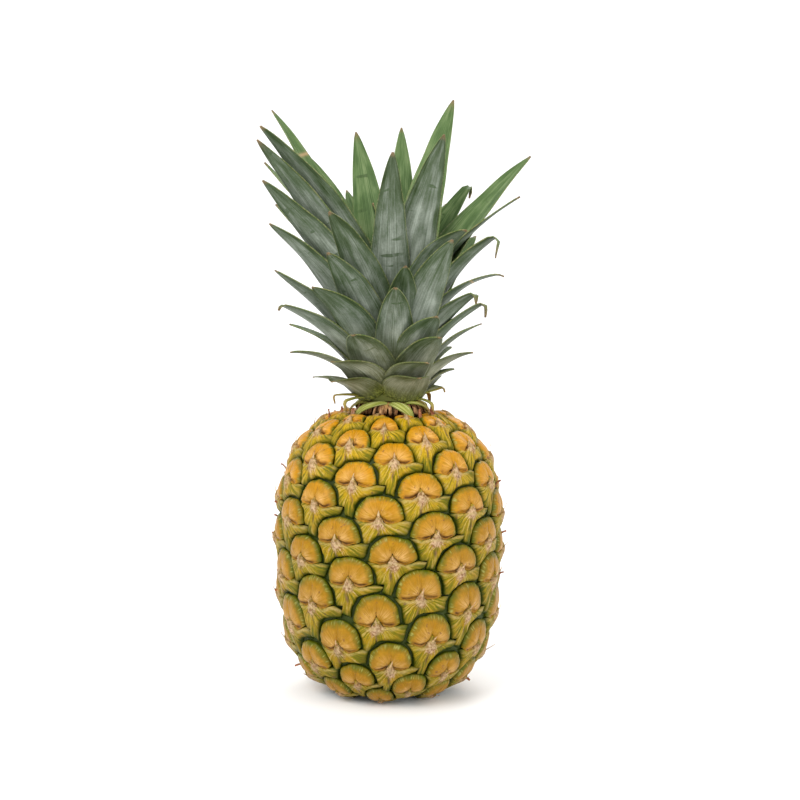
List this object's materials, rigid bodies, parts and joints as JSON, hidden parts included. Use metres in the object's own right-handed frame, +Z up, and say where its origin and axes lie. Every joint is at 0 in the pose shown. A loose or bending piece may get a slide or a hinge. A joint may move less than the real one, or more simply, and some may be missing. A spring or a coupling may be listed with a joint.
{
  "type": "pineapple",
  "caption": "Whole ripe pineapple standing on its base: a barrel of fused eyes with domes and bracts, a dried collar and a tall crown of channelled leaves.",
  "frame": {"origin": "middle of the flat spot that the fruit stands on, on the cut face of its stalk", "axes": "+Z up through the crown, -Y the front, +X to the right seen from the front"},
  "size_m": [0.1436, 0.1287, 0.3193],
  "materials": {
    "rind": "firm waxy skin, golden orange domes, yellow green bracts, dark green grooves",
    "stalk": "cut fibrous stalk, dried brown",
    "dried_leaf": "thin papery leaf bases, straw to reddish brown",
    "leaf": "stiff waxy blades, grey green with a pale bloom, brown dried tips"
  },
  "bodies": {
    "root": {"fruit": "rind", "stalk": "stalk", "collar": "dried_leaf", "crown": "leaf"}
  },
  "joints": []
}
